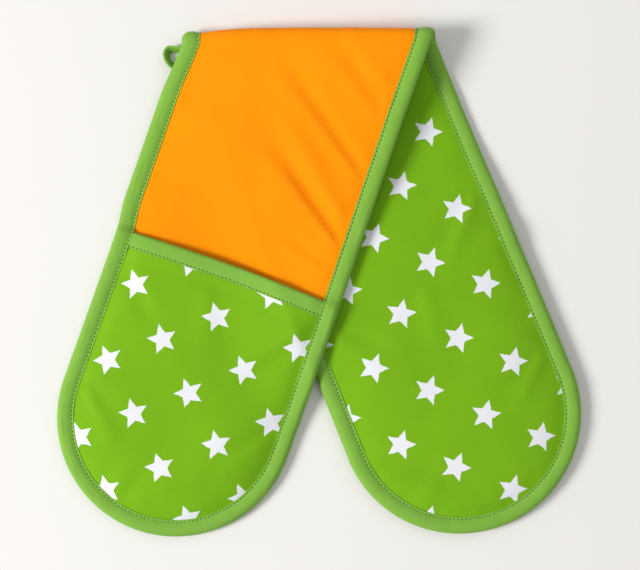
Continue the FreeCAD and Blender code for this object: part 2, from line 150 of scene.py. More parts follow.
def filled(a, b, reach):
    return 1 - np.exp(-np.maximum(seamDistance(a, b) - strip["seamWidth"], 0) / reach)


def padThickness(a, b):
    return strip["padSeam"] + (strip["padMiddle"] - strip["padSeam"]) * filled(a, b, strip["seamPuff"])


def pinch(across):
    return lay["upperPinch"] * smooth(across / radius)


def plan(part, a, b):
    # the cloth doesn't lie quite true: the lower half swings out, the upper spreads above its pocket
    side = 1 if part == lower else -1
    fromFold = b - a * foldTan
    if part == lower:
        away = smooth(fromFold / toeCentre)
        a, b = a * (1 + lay["lowerSpread"] * away) + lay["lowerSwing"] * away, b + lay["lowerReach"] * away
    else:
        beside = smooth(a / radius) * smooth(fromFold / (45 * mm))
        beside = beside * smooth((mouthLine + 8 * mm - b) / (30 * mm))
        a = a + lay["upperSpread"] * beside
    x = foldX + side * (a * foldCos + b * foldSin)
    if part == upper:
        x = x - pinch(-a) * smooth(1 - fromFold / lay["pinchReach"])
    return x, foldY + a * foldSin - b * foldCos


def mouthAt(a):
    return mouthLine + pocket["mouthBow"] * (a / (radius - strip["seamWidth"])) ** 2


def mouthBand(a, b):
    # 1 where the mouth's binding thickens the pocket, falling to 0 beyond it
    past = b - mouthAt(a) - pocket["mouthLeg"]
    return smooth((b - mouthAt(a) + 3 * mm) / (3 * mm)) * smooth(1 - past / (9 * mm))


def puckers(seed, a, b):
    # the seam draws the cloth in, so short folds run out from it
    e = seamDistance(a, b) - strip["seamWidth"]
    along = roundTheEdge(a, b)
    short = hills(seed, along / (6.5 * mm) + 30, e / (30 * mm))
    long = hills(seed + 1, along / (17 * mm) + 30, e / (60 * mm))
    near = np.exp(-np.maximum(e, 0) / (9 * mm)) * smooth(e / (3 * mm) + 0.4)
    far = np.exp(-np.maximum(e, 0) / (26 * mm)) * smooth(e / (9 * mm))
    return strip["pucker"] * (0.75 * short * near + 1.1 * long * far)


def crease(a, b, start, end, width, height):
    # one soft fold that grows from its start and runs out at the seam, sharper there
    sa, sb = start
    da, db = end[0] - sa, end[1] - sb
    length = math.hypot(da, db)
    along = ((a - sa) * da + (b - sb) * db) / length**2
    off = ((a - sa) * db - (b - sb) * da) / length
    wide = width * (1.35 - 0.85 * np.clip(along, 0, 1))
    ends = smooth(along / 0.5) * smooth((1 - along) / 0.10)
    bank = np.exp(-(((off - 1.7 * wide) / (1.2 * wide)) ** 2))
    return height * (np.exp(-((off / wide) ** 2)) - 0.5 * bank) * ends


# start, end, width and height of each fold, in millimetres of a and b
liningFolds = [
    ((30, 8), (-80, 83), 5.5, -1.0),
    ((22, 42), (-74, 120), 9.0, 0.9),
    ((10, 72), (-80, 137), 5.0, -1.1),
    ((-10, -16), (-76, 34), 6.0, -0.5),
    ((-4, -22), (-74, 12), 6.0, 0.4),
    ((-20, 140), (-78, 156), 3.5, -0.6),
    ((10, 134), (76, 132), 7.0, -0.35),
    ((20, 60), (78, 92), 8.0, 0.3),
    ((30, 20), (78, 30), 7.0, -0.3),
]
pocketFolds = [
    ((-20, 262), (-70, 205), 7.0, 0.5),
    ((30, 250), (76, 206), 7.0, -0.45),
    ((-30, 330), (-76, 280), 6.0, -0.4),
    ((26, 345), (74, 300), 7.0, 0.45),
    ((-8, 260), (12, 196), 9.0, 0.3),
    ((0, 330), (20, 376), 8.0, -0.3),
]
backFolds = [
    ((-6, 128), (-78, 66), 8.0, -0.5),
    ((34, 132), (-70, 128), 6.0, 0.5),
    ((20, 205), (76, 150), 7.0, 0.5),
    ((-26, 240), (-76, 190), 6.0, -0.45),
    ((30, 320), (76, 280), 6.0, 0.4),
    ((-20, 340), (-70, 312), 7.0, -0.4),
    ((0, 270), (10, 200), 10.0, 0.35),
    ((20, 60), (76, 40), 7.0, 0.5),
]


def relief(seed, folds, a, b):
    fade = smooth((seamDistance(a, b) - strip["seamWidth"]) / (10 * mm))
    slow = hills(seed + 5, a / (46 * mm) + 20, b / (52 * mm) + 20) * strip["drag"] * 0.6
    slow = slow + hills(seed + 6, a / (21 * mm) + 20, b / (24 * mm) + 20) * strip["drag"] * 0.16
    height = slow * fade + puckers(seed, a, b)
    for start, end, width, tall in folds:
        places = [[v * mm for v in p] for p in (start, end)]
        height = height + fade * crease(a, b, *places, width * mm, strip["foldDepth"] * tall * mm)
    return height


def lowerStar(a, b):
    puff = filled(a, b, strip["seamPuff"])
    middle = strip["lyingMiddle"] + strip["padMiddle"]
    lying = strip["lyingEdge"] + strip["padSeam"]
    lying = lying + (middle - lying) * puff
    raised = strip["raisedSeam"] + strip["raisedPuff"] * filled(a, b, pocket["roomPuff"])
    raised = raised + 2.1 * pocket["tape"] * mouthBand(a, b) * (1 - filled(a, b, pocket["roomPuff"]))
    climb = smooth((b - strip["rampStart"]) / (strip["rampEnd"] - strip["rampStart"]))
    return lying + (raised - lying) * climb


def frontThickness(a, b):
    full = (pocket["frontMiddle"] - pocket["frontSeam"]) * filled(a, b, pocket["roomPuff"])
    thin = smooth(1 - (b - mouthAt(a) - 7 * mm) / (22 * mm))
    return pocket["frontSeam"] + full * (1 - 0.85 * thin)


# How the upper half comes to rest: a stiff cloth sinks onto the table and the lower half.
drape = {"cell": 3 * mm, "spread": 3, "sink": 0.07 * mm, "rounds": 500, "clamp": 7 * mm}


def settle():
    cell = drape["cell"]
    across = np.arange(-radius - 3 * cell, radius + 3.01 * cell, cell)
    along = np.arange(-radius * foldTan - 6 * cell, strip["halfLength"] + 3.01 * cell, cell)
    a, b = np.meshgrid(across, along, indexing="ij")
    x, y = plan(upper, a, b)
    la = (x - foldX) * foldCos + (y - foldY) * foldSin
    lb = (x - foldX) * foldSin - (y - foldY) * foldCos
    over = (seamDistance(la, lb) > -1 * mm) & (y < foldY)
    under = np.where(over, lowerStar(np.clip(la, -radius, radius), lb) + 1.1 * mm, 0.2 * mm)
    held = np.maximum(leanSlope * (x - restingX), 0.2 * mm)
    fixed = y > foldY - drape["clamp"]
    height = held.copy()
    reach = drape["spread"]
    kernel = np.array([math.exp(-0.5 * (i / (0.6 * reach)) ** 2) for i in range(-reach, reach + 1)])
    kernel = kernel / kernel.sum()
    for _ in range(drape["rounds"]):
        for axis in (0, 1):
            pad = [(reach, reach) if k == axis else (0, 0) for k in (0, 1)]
            wide = np.pad(height, pad, mode="reflect", reflect_type="odd")
            size = height.shape[axis]
            height = sum(k * np.take(wide, range(i, i + size), axis=axis) for i, k in enumerate(kernel))
        height = np.maximum(height - drape["sink"], under)
        height = np.where(fixed, held, height)
    keep = lay["tentHold"] * (1 - smooth((b + 0.03) / (lay["tentReach"] + 0.03)))
    tent = np.maximum(held - height, 0)
    height = np.maximum(height + keep * tent, under)
    for _ in range(4):
        inner = (height[:-2, 1:-1] + height[2:, 1:-1] + height[1:-1, :-2] + height[1:-1, 2:]) / 4
        height[1:-1, 1:-1] = np.maximum(0.5 * height[1:-1, 1:-1] + 0.5 * inner, under[1:-1, 1:-1])
    return across[0], along[0], height


drapeStartA, drapeStartB, drapeHeight = settle()
print("upper half settled, highest", round(float(drapeHeight.max()) * 1000, 1), "mm")


def underside(a, b):
    # cubic blend of the settled heights, so the cloth has no facets
    u = (a - drapeStartA) / drape["cell"]
    v = (b - drapeStartB) / drape["cell"]
    iu = np.clip(np.floor(u).astype(int), 1, drapeHeight.shape[0] - 3)
    iv = np.clip(np.floor(v).astype(int), 1, drapeHeight.shape[1] - 3)
    fu, fv = u - iu, v - iv

    def weigh(f):
        near, far = 1 - f, f
        return [
            near**3 / 6,
            (3 * far**3 - 6 * far**2 + 4) / 6,
            (3 * near**3 - 6 * near**2 + 4) / 6,
            far**3 / 6,
        ]

    total = 0
    for i, wu in enumerate(weigh(fu)):
        for j, wv in enumerate(weigh(fv)):
            total = total + wu * wv * drapeHeight[iu + i - 1, iv + j - 1]
    return total


# Heights of each face. A raised offset goes towards the star side of the strip.
def starFace(part, a, b):
    if part == lower:
        return lowerStar(a, b) + relief(11, backFolds, a, b)
    puff = filled(a, b, strip["seamPuff"])
    return underside(a, b) + strip["nestle"] + (strip["nestleSeam"] - strip["nestle"]) * (1 - puff)


def liningFace(part, a, b):
    if part == lower:
        return lowerStar(a, b) - padThickness(a, b)
    return starFace(part, a, b) + padThickness(a, b) + relief(23, liningFolds, a, b)


def plainLining(part, a, b):
    if part == lower:
        return liningFace(part, a, b)
    return starFace(part, a, b) + padThickness(a, b) + puckers(23, a, b)


def pocketRoom(a, b):
    middle = np.clip(1 - (a / (radius - strip["seamWidth"])) ** 2, 0, 1) ** 1.5
    gape = pocket["mouthGape"] * middle * np.exp(-np.maximum(b - mouthAt(a), 0) / pocket["gapeReach"])
    room = pocket["upperRoom"] * filled(a, b, pocket["roomPuff"])
    room = room * smooth((b - mouthAt(a) + 30 * mm) / (70 * mm))
    return 0.1 * mm + 1.15 * pocket["tape"] * mouthBand(a, b) + room + gape


def pocketInner(part, a, b):
    if part == lower:
        return pocketOuter(part, a, b) + frontThickness(a, b)
    return plainLining(part, a, b) + pocketRoom(a, b)


def pocketOuter(part, a, b):
    if part == lower:
        puff = filled(a, b, pocket["roomPuff"])
        rise = pocket["lyingFace"] + (pocket["lyingSeam"] - pocket["lyingFace"]) * (1 - puff)
        return rise + 1.1 * pocket["tape"] * mouthBand(a, b)
    return pocketInner(part, a, b) + frontThickness(a, b) + relief(37, pocketFolds, a, b) - puckers(23, a, b)


def coverFace(part, a, b):
    # the face that the edge binding lies on, opposite the stars
    side = -1 if part == lower else 1
    inPocket = smooth((b - mouthAt(a) + 4 * mm) / (6 * mm))
    outer = pocketOuter(part, a, b) + side * pocket["tape"] * mouthBand(a, b)
    bare = liningFace(part, a, b)
    return bare + (outer - bare) * inPocket


def noseDepth(across):
    return lay["noseLeft"] + (lay["noseRight"] - lay["noseLeft"]) * smooth((across + radius) / (2 * radius))


def place(kind, across, v, layer, offset=0.0):
    # world positions; across is a on the lower half and -a on the upper, v is b or the turn round the nose
    kind, across, v, offset = (np.asarray(k) for k in np.broadcast_arrays(kind, across, v, offset))
    out = np.zeros(across.shape + (3,))
    for part, side in ((lower, 1), (upper, -1)):
        m = kind == part
        if m.any():
            a, b = side * across[m], v[m]
            x, y = plan(part, a, b)
            out[m] = np.stack([x, y, layer(part, a, b) + side * offset[m]], -1)
    m = kind == nose
    if m.any():
        a = across[m]
        low = layer(lower, a, a * foldTan) + offset[m]
        high = layer(upper, -a, -a * foldTan) - offset[m]
        reach, middle = (high - low) / 2, (high + low) / 2
        x = foldX + a / foldCos - pinch(a) * smooth(v[m] / math.pi)
        y = foldY + noseDepth(a) * reach * np.sin(v[m])
        out[m] = np.stack([x, y, middle - reach * np.cos(v[m])], -1)
    return out


def foldWeight(kind, across, v, spread=0.0):
    # each point's share of the fold's turn, by the true angle round the hinge; spread shifts that share along the
    # nose
    around = np.arctan2(noseDepth(across) * np.sin(v), np.cos(v)) + spread * np.sin(2 * v)
    return np.where(kind == lower, 0.0, np.where(kind == upper, 1.0, np.clip(around / math.pi, 0, 1)))


def clothPlace(kind, across, v):
    # where a point is on the flat strip, for weaves and prints
    along = np.where(kind == lower, v, np.where(kind == upper, -v, across * foldTan))
    return np.stack(np.broadcast_arrays(across, along, 0 * along), -1)


def makeMesh(name, points, faces, cloth, weight=None):
    mesh = bpy.data.meshes.new(name)
    mesh.from_pydata(points.reshape(-1, 3).tolist(), [], faces)
    onCloth = mesh.attributes.new("cloth", "FLOAT_VECTOR", "POINT").data
    onCloth.foreach_set("vector", cloth.astype(np.float32).ravel())
    for polygon in mesh.polygons:
        polygon.use_smooth = True
    mesh.validate()
    piece = bpy.data.objects.new(name, mesh)
    bpy.context.collection.objects.link(piece)
    if weight is not None:
        share = mesh.attributes.new("bendShare", "FLOAT", "POINT").data
        share.foreach_set("value", weight.astype(np.float32).ravel())
    return piece


def gridFaces(rows, columns, start=0, closedRows=False, closedColumns=False):
    r = np.arange(rows if closedRows else rows - 1)
    c = np.arange(columns if closedColumns else columns - 1)
    r, c = np.meshgrid(r, c, indexing="ij")
    r2, c2 = (r + 1) % rows, (c + 1) % columns
    corner = lambda i, j: (start + i * columns + j).ravel()
    return np.stack([corner(r, c), corner(r, c2), corner(r2, c2), corner(r2, c)], -1)


def thickSheet(name, top, bottom, cloth, weight, flip=False):
    # two faces of a grid and the rim between them
    rows, columns = top.shape[:2]
    count = rows * columns
    faces = gridFaces(rows, columns)
    if flip:
        faces = faces[:, ::-1]
    ids = np.arange(count).reshape(rows, columns)
    rim = np.concatenate([ids[0, :-1], ids[:-1, -1], ids[-1, :0:-1], ids[:0:-1, 0]])
    ahead = np.roll(rim, -1)
    sides = np.stack([ahead, rim, rim + count, ahead + count], -1)
    if flip:
        sides = sides[:, ::-1]
    every = np.concatenate([faces, faces[:, ::-1] + count, sides])
    points = np.concatenate([top.reshape(-1, 3), bottom.reshape(-1, 3)])
    twice = np.tile(cloth.reshape(-1, 3), (2, 1))
    return makeMesh(name, points, every.tolist(), twice, np.tile(weight.ravel(), 2))


def spaced(count):
    # columns across, closer together near the seams
    t = np.linspace(-1, 1, count)
    return t * (1.25 - 0.25 * t * t)


def stripGrid(inset, columns=61, straight=100, toe=30, turn=16):
    width = radius - inset
    t = spaced(columns)
    kinds, acrosses, vs = [], [], []

    def add(kind, across, v):
        kinds.append(np.full(columns, kind))
        acrosses.append(across)
        vs.append(v)

    def half(kind, side):
        for s in np.linspace(1, 0, toe + 1)[:-1]:
            add(kind, width * t * np.sqrt(1 - s * s / 2), toeCentre + width * s * np.sqrt(1 - t * t / 2))
        for s in np.linspace(1, 0, straight):
            start = side * width * t * foldTan
            add(kind, width * t, start + s * (toeCentre - start))

    half(lower, 1)
    for phi in np.linspace(0, math.pi, turn + 2)[1:-1]:
        add(nose, width * t, np.full(columns, phi))
    before = len(kinds)
    half(upper, -1)
    for rows in (kinds, acrosses, vs):
        rows[before:] = rows[before:][::-1]
    return np.array(kinds), np.array(acrosses), np.array(vs)


def bendByWeight(piece):
    shares = np.zeros(len(piece.data.vertices), np.float32)
    piece.data.attributes["bendShare"].data.foreach_get("value", shares)
    piece.data.attributes.remove(piece.data.attributes["bendShare"])
    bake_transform(piece)


def foldingSheet(name, layer, near, far, inset, spread=0.0):
    kind, across, v = stripGrid(inset)
    top = place(kind, across, v, layer, near)
    bottom = place(kind, across, v, layer, far)
    share = foldWeight(kind, across, v, spread)
    return thickSheet(name, top, bottom, clothPlace(kind, across, v), share, flip=near < far)


# The big cloths, each one piece from toe to toe across the fold.
panels = {
    "inset": 3.5 * mm,
    "padInset": 4.5 * mm,
    "slack": 0.5 * mm,  # between the cloths and the wadding
    "spread": 0.14,  # radians, see foldWeight
    "padSpread": 0.02,
}

inset, thin = panels["inset"], strip["cloth"]
starPanel = foldingSheet("star_panel", starFace, 0.0, -thin, inset, panels["spread"])
liningPanel = foldingSheet("orange_lining", liningFace, 0.0, thin, inset)
kind, across, v = stripGrid(panels["padInset"])
inStar = place(kind, across, v, starFace, -thin - panels["slack"])
inLining = place(kind, across, v, liningFace, thin + panels["slack"])
share = foldWeight(kind, across, v, panels["padSpread"])
padding = thickSheet("strip_wadding", inStar, inLining, clothPlace(kind, across, v), share)
for piece, word in ((starPanel, "star_panel"), (liningPanel, "lining"), (padding, "wadding")):
    bendByWeight(piece)
    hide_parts("lower_" + word, "upper_" + word, "fold_" + word)
print("star panel, lining and wadding made")


# The edge binding: bias tape folded over the edge all the way round.
binding = {
    "leg": 13 * mm,
    "backWaves": 0.4,  # metres along, so the ripples differ on the other face
    "thick": 0.9 * mm,
    "round": 4 * mm,  # how far in the rolled edge reaches
    "puff": 0.75 * mm,
    "overEdge": 6 * mm,
    "stitchAt": 11.3 * mm,
    "dip": 0.65 * mm,
    "ripple": 0.34 * mm,
    "spread": 0.2,
}


def edgeStations(step=3 * mm, turn=14):
    # round the outline: lower toe, one side, over the fold, upper toe, other side, back over the fold
    kinds, sides, turns, shares = [], [], [], []

    def add(kind, side, theta, share):
        kinds.append(kind), sides.append(side), turns.append(theta), shares.append(share)

    toeSteps = int(radius * math.pi / step)
    rows = int(toeCentre / step)

    def toe(kind, side):
        for i in range(toeSteps):
            add(kind, 0, side * (-math.pi / 2 + math.pi * (i + 0.5) / toeSteps), 0)

    def run(kind, side, outward):
        for i in range(rows + 1):
            add(kind, side, 0, i / rows if outward else 1 - i / rows)

    def bend(side, back):
        for i in range(1, turn):
            share = i / turn
            add(nose, side, 0, math.pi * (1 - share if back else share))

    toe(lower, 1)
    run(lower, 1, False)
    bend(1, False)
    run(upper, 1, True)
    toe(upper, -1)
    run(upper, -1, False)
    bend(-1, True)
    run(lower, -1, True)
    return tuple(np.array(k) for k in (kinds, sides, turns, shares))


def stationAt(stations, e):
    # a place e inside the outline at every station
    kind, side, theta, share = stations
    width = radius - e
    across = np.where(side == 0, width * np.sin(theta), side * width)
    start = np.where(kind == upper, -1, 1) * across * foldTan
    b = np.where(side == 0, toeCentre + width * np.cos(theta), start + share * (toeCentre - start))
    return kind, across, np.where(kind == nose, share, b)


def wayRound(points):
    return np.concatenate([[0], np.cumsum(np.linalg.norm(np.diff(points, axis=0), axis=1))])


def bindingSwell(e, along):
    swell = binding["puff"] * np.sin(math.pi * np.clip((e - 1 * mm) / (binding["stitchAt"] - 1 * mm), 0, 1))
    dip = binding["dip"] * math.exp(-(((e - binding["stitchAt"]) / (1.1 * mm)) ** 2))
    waves = hills(51, along / (7 * mm), np.full_like(along, e / (14 * mm)))
    waves = waves + 0.6 * hills(52, along / (19 * mm), np.full_like(along, e / (30 * mm)))
    rise = swell - dip + binding["ripple"] * waves * smooth(e / (6 * mm))
    return np.maximum(rise, 0.2 * mm - binding["thick"])


def bindingProfile(thick, starLayer, backLayer, stations, along, inner):
    # from the leg on the star side, round the edge, to the leg on the other side
    rounded = binding["round"]
    legs = [e * mm for e in (13, 12.65, 12.1, 11.5, 10.8, 9.4, 7.8, 6.2, 5)]

    def leg(layer, side, shift, order):
        # the cut edge is turned under, so it lies lower
        for e in order:
            lift = thick if inner else thick + bindingSwell(e, along + shift)
            if not inner and e == legs[0]:
                lift = 0.55 * thick
            rows.append(place(*stationAt(stations, e), layer, side * lift))

    rows = []
    leg(starLayer, 1, 0, legs)
    for i in range(11):
        psi = math.pi / 2 - math.pi * i / 10
        e = rounded - (rounded - (0.9 * mm if inner else 0)) * math.cos(psi)
        lift = thick if inner else thick + bindingSwell(e, along)
        star = place(*stationAt(stations, e), starLayer, lift)
        back = place(*stationAt(stations, e), backLayer, -lift)
        rows.append((star + back) / 2 + (star - back) / 2 * math.sin(psi))
    leg(backLayer, -1, binding["backWaves"], legs[::-1])
    return rows


stations = edgeStations()
edgeLine = place(*stationAt(stations, 0), starFace)
edgeWay = wayRound(edgeLine)
outside = bindingProfile(binding["thick"], starFace, coverFace, stations, edgeWay, False)
inside = bindingProfile(0.03 * mm, starFace, coverFace, stations, edgeWay, True)
ring = np.stack(outside + inside[::-1])  # profile by station
rows, columns = ring.shape[:2]
profileWay = wayRound(ring[:, 5])
cloth = np.stack(np.broadcast_arrays(edgeWay[None, :], profileWay[:, None], 0.0), -1)
share = foldWeight(stations[0], stations[1] * radius, stations[3], binding["spread"])
weight = np.tile(share, (rows, 1))
faces = gridFaces(rows, columns, closedRows=True, closedColumns=True)
edgeBinding = makeMesh("edge_binding", ring, faces.tolist(), cloth.reshape(-1, 3), weight)
bendByWeight(edgeBinding)
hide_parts("lower_edge_binding", "upper_edge_binding", "fold_edge_binding")
outline = float(edgeWay[-1])
print("edge binding made, outline", round(outline, 3), "m")


# Stitches: short rounded threads laid end to end along a line.
stitching = {
    "pitch": 3.1 * mm,
    "length": 2.0 * mm,
    "thick": 0.42 * mm,
    "sink": 0.06 * mm,
    "wander": 0.2 * mm,
    "spread": 0.25,
}


def unit(arrow):
    return arrow / np.linalg.norm(arrow)


def stitchShape():
    # a capsule along x, drooping a little into the cloth at both ends
    rings, around = 7, 6
    points, faces = [], []
    for i in range(rings):
        s = -1 + 2 * i / (rings - 1)
        size = max(0.25, math.sqrt(max(0.0, 1 - abs(s) ** 5)))
        for j in range(around):
            turn = 2 * math.pi * j / around
            points.append((s * 0.5, size * math.cos(turn), size * math.sin(turn) - 0.9 * s**4))
    for i in range(rings - 1):
        for j in range(around):
            k = (j + 1) % around
            faces.append((i * around + j, i * around + k, (i + 1) * around + k, (i + 1) * around + j))
    faces.append(tuple(range(around))[::-1])
    faces.append(tuple(range((rings - 1) * around, rings * around)))
    return np.array(points), faces


def threadMesh(name, threads):
    # threads: middle, direction, up, length and bend share of each
    shape, shapeFaces = stitchShape()
    points, faces, cloth, shares = [], [], [], []
    for middle, forward, up, long, share in threads:
        forward = unit(forward)
        up = unit(up - forward * (up @ forward))
        sideways = np.cross(up, forward)
        thick = stitching["thick"]
        section = shape[:, 1:2] * sideways + shape[:, 2:] * up
        points.append(middle + shape[:, :1] * long * forward + thick * section)
        start = len(shares) * len(shape)
        faces += [tuple(start + k for k in f) for f in shapeFaces]
        cloth.append(np.stack([shape[:, 0] * long + start * mm, shape[:, 1] * mm, shape[:, 2] * mm], -1))
        shares.append(np.full(len(shape), share))
    return makeMesh(name, np.concatenate(points), faces, np.concatenate(cloth), np.concatenate(shares))


def layStitches(name, lines, seed):
    # lines: points along the seam, matching points just above them, and bend shares
    luck = np.random.RandomState(seed)
    threads = []
    for line, above, share in lines:
        way = wayRound(line)
        number = int(way[-1] / stitching["pitch"])
        at = lambda s, values: np.array([np.interp(s, way, values[:, k]) for k in range(3)])
        for i in range(number):
            middle = (i + 0.5) * way[-1] / number + luck.uniform(-0.12, 0.12) * mm
            long = stitching["length"] * luck.uniform(0.92, 1.06)
            forward = unit(at(middle + long / 2, line) - at(middle - long / 2, line))
            up = unit(at(middle, above) - at(middle, line))
            sideways = np.cross(up, forward)
            centre = at(middle, line) + sideways * luck.uniform(-1, 1) * stitching["wander"]
            centre = centre - up * stitching["sink"]
            forward = forward + sideways * luck.uniform(-0.07, 0.07)
            threads.append((centre, forward, up, long, np.interp(middle, way, share)))
    return threadMesh(name, threads)


closed = tuple(np.concatenate([k, k[:1]]) for k in stations)
closedWay = np.concatenate([edgeWay, [outline]])
share = foldWeight(closed[0], closed[1] * radius, closed[3], stitching["spread"])
lines = []
for layer, side in ((starFace, 1), (coverFace, -1)):
    shift = 0 if side == 1 else binding["backWaves"]
    swellThere = bindingSwell(binding["stitchAt"], closedWay + shift)
    lift = side * (binding["thick"] + swellThere)
    spot = stationAt(closed, binding["stitchAt"])
    line = place(*spot, layer, lift)
    above = place(*spot, layer, lift + side * 1 * mm)
    lines.append((line, above, share))
edgeStitches = layStitches("edge_stitching", lines, 7)
bendByWeight(edgeStitches)
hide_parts("lower_edge_stitching", "upper_edge_stitching")
print("edge stitching made")


# The pockets: a padded front sewn down round the toe, open at its bound mouth.
def pocketGrid(inset, mouthInset, columns=57, straight=44, toe=30):
    width = radius - inset
    t = spaced(columns)
    rows = []
    for s in np.linspace(0, 1, straight):
        start = mouthAt(width * t) + mouthInset
        rows.append((width * t, start + s * (toeCentre - start)))
    for s in np.linspace(0, 1, toe + 1)[1:]:
        rows.append((width * t * np.sqrt(1 - s * s / 2), toeCentre + width * s * np.sqrt(1 - t * t / 2)))
    return np.array([r[0] for r in rows]), np.array([r[1] for r in rows])


def pocketShare(a, b):
    out = (radius - seamDistance(a, b)) / (radius - strip["seamWidth"])
    return np.clip(1 - out**2, 0, 1) ** 0.8


def pocketPlace(part, a, b, layer, offset=0.0):
    # offset is away from the hand's side of the strip
    side = -1 if part == lower else 1
    x, y = plan(part, a, b)
    return np.stack([x, y, layer(part, a, b) + side * offset], -1)


pocketPieces = {
    "inset": 4 * mm,
    "mouthInset": 1.5 * mm,
    "tapeInset": 6.5 * mm,
    "tapeRound": 2.6 * mm,
    "tapeFlat": 28 * mm,  # the mouth's tape opened out: two legs and the turn between
    "tapeStitchAt": 11.2 * mm,
    "tapePuff": 0.35 * mm,
    "tapeDip": 0.3 * mm,
    "tapeRipple": 0.14 * mm,
    "underTape": 0.03 * mm,
}


def makePocket(part, word):
    a, b = pocketGrid(pocketPieces["inset"], pocketPieces["mouthInset"])
    cloth = np.stack([a, b, 0 * a], -1)
    share = pocketShare(a, b)
    flip = part == upper
    thin = strip["cloth"]
    slack = panels["slack"]
    outer = [pocketPlace(part, a, b, pocketOuter, k) for k in (0, -thin, -thin - slack)]
    inner = [pocketPlace(part, a, b, pocketInner, k) for k in (0, thin, thin + slack)]
    front = thickSheet(word + "_pocket_front_cloth", outer[0], outer[1], cloth, share, not flip)
    back = thickSheet(word + "_pocket_lining_cloth", inner[0], inner[1], cloth, share, flip)
    fluff = thickSheet(word + "_pocket_pad", outer[2], inner[2], cloth, share, not flip)
    for piece, node in ((front, "front"), (back, "lining"), (fluff, "wadding")):
        bendByWeight(piece)
        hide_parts(word + "_pocket_" + node)

    # the mouth's binding, its two legs on the front's faces
    acrossEnd = radius - pocketPieces["tapeInset"]
    reach = np.linspace(-acrossEnd, acrossEnd, 64)
    mouth = mouthAt(reach)
    tape = pocket["tape"]
    rounded, sewn = pocketPieces["tapeRound"], pocketPieces["tapeStitchAt"]
    under = pocketPieces["underTape"]
    legs = [e * mm for e in (12.5, 12.2, 11.7, 11.2, 10.4, 8.6, 6.6, 4.8, 3.4)]
    along = reach + 0.2 + 0.3 * part

    def lift(e, outerSkin):
        if not outerSkin:
            return under
        if e == legs[0]:
            return 0.5 * tape
        swell = pocketPieces["tapePuff"] * math.sin(math.pi * min(1, e / sewn))
        dip = pocketPieces["tapeDip"] * math.exp(-(((e - sewn) / (1.0 * mm)) ** 2))
        waves = hills(61, along / (8 * mm), np.full_like(along, e / (12 * mm)))
        return tape + swell - dip + pocketPieces["tapeRipple"] * waves

    def skin(outerSkin):
        inside = -(tape if outerSkin else under)
        rows = []
        for e in legs:
            rows.append(pocketPlace(part, reach, mouth + e, pocketOuter, lift(e, outerSkin)))
        for i in range(9):
            psi = math.pi / 2 - math.pi * i / 8
            e = rounded - (rounded if outerSkin else rounded - tape) * math.cos(psi)
            top = pocketPlace(part, reach, mouth + e, pocketOuter, lift(e, outerSkin))
            bottom = pocketPlace(part, reach, mouth + e, pocketInner, inside)
            rows.append((top + bottom) / 2 + (top - bottom) / 2 * math.sin(psi))
        for e in legs[::-1]:
            rows.append(pocketPlace(part, reach, mouth + e, pocketInner, inside))
        return rows

    ring = np.stack(skin(True) + skin(False)[::-1])
    rows, columns = ring.shape[:2]
    faces = gridFaces(rows, columns, closedRows=True).tolist()
    faces.append([k * columns for k in range(rows)])
    faces.append([k * columns + columns - 1 for k in range(rows)][::-1])
    down = wayRound(ring[:, columns // 2])
    cloth = np.stack(np.broadcast_arrays(reach[None, :], down[:, None], 0.0), -1)
    share = np.tile(pocketShare(reach, mouth), (rows, 1))
    mouthTape = makeMesh(word + "_mouth_tape", ring, faces, cloth.reshape(-1, 3), share)
    lines = []
    for layer, away in ((pocketOuter, 1), (pocketInner, -1)):
        level = lift(sewn, True) if away == 1 else tape
        line = pocketPlace(part, reach, mouth + sewn, layer, away * level)
        above = pocketPlace(part, reach, mouth + sewn, layer, away * (level + 1 * mm))
        lines.append((line, above, pocketShare(reach, mouth + sewn)))
    thread = layStitches(word + "_mouth_stitches", lines, 13 + part)
    for piece, node in ((mouthTape, "mouth_binding"), (thread, "mouth_stitching")):
        bendByWeight(piece)
        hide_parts(word + "_pocket_" + node)
    print(word, "pocket made")
    return {"front": front, "lining": back, "pad": fluff, "tape": mouthTape, "thread": thread}


pockets = [makePocket(lower, "lower"), makePocket(upper, "upper")]


# The hanging loop: a short band of the same tape standing on edge, with its bar tack.
loop = {
    "width": 6.3 * mm,
    "tape": 1.9 * mm,
    "lean": 0.42,  # the band flares, its lower edge drawn in
    "eye": 7.7 * mm,
    "root": 1.3 * mm,
    "tuck": 2.4 * mm,  # how far its middle slips in under the edge
    "stretch": 1.18,  # longer along the edge than it stands out
    "sewnIn": 4.5 * mm,  # its root runs on this far, into the lower half's binding
    "tackRows": 10,
    "tackLength": 4 * mm,
    "tackWidth": 1.5 * mm,
    "tackLift": 0.45 * mm,
}


